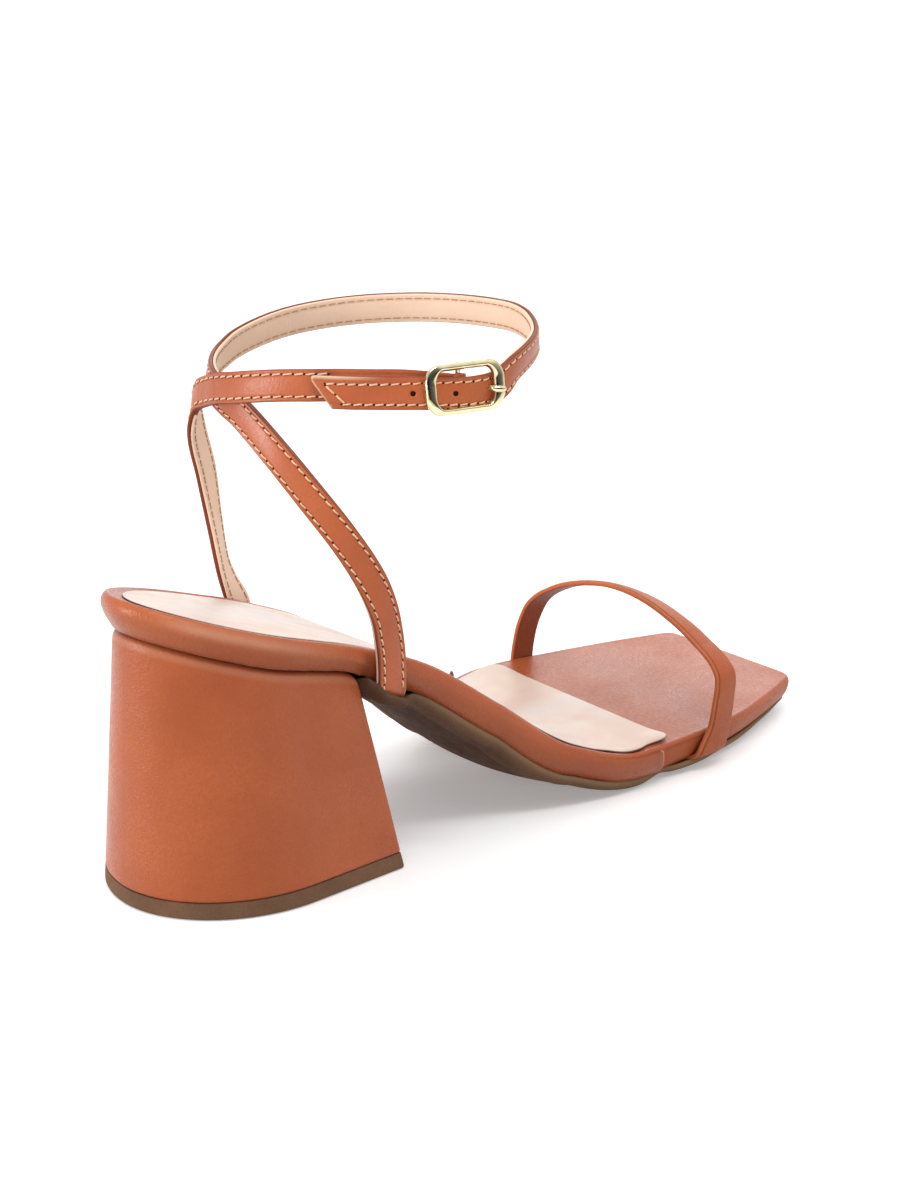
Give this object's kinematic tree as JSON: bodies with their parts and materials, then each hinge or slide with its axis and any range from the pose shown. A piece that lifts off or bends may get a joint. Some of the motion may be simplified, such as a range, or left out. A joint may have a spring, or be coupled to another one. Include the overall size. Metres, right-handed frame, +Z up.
{
  "type": "block heel ankle strap sandal",
  "caption": "Right-foot women's sandal with a flared leather-covered block heel, a square toe, a toe band, and crossed ankle straps that fasten with a side buckle.",
  "frame": {"origin": "on the floor, under the middle of the shoe's bounding box", "axes": "+X toward the toe, +Y to the medial side, +Z up"},
  "size_m": [0.2354, 0.0908, 0.1372],
  "materials": {
    "tan_leather": "smooth tan leather with a soft sheen",
    "cream_leather": "pale cream lining leather, matt",
    "brown_rubber": "olive brown rubber, matt",
    "gold_metal": "pale gold plating, polished"
  },
  "bodies": {
    "root": {"outsole": "brown_rubber", "heel": "tan_leather", "heel_top_piece": "brown_rubber", "footbed": "tan_leather", "insock": "cream_leather", "toe_strap": "tan_leather", "ankle_straps": "tan_leather", "buckle_frame": "gold_metal", "buckle_prong": "gold_metal"}
  },
  "joints": []
}
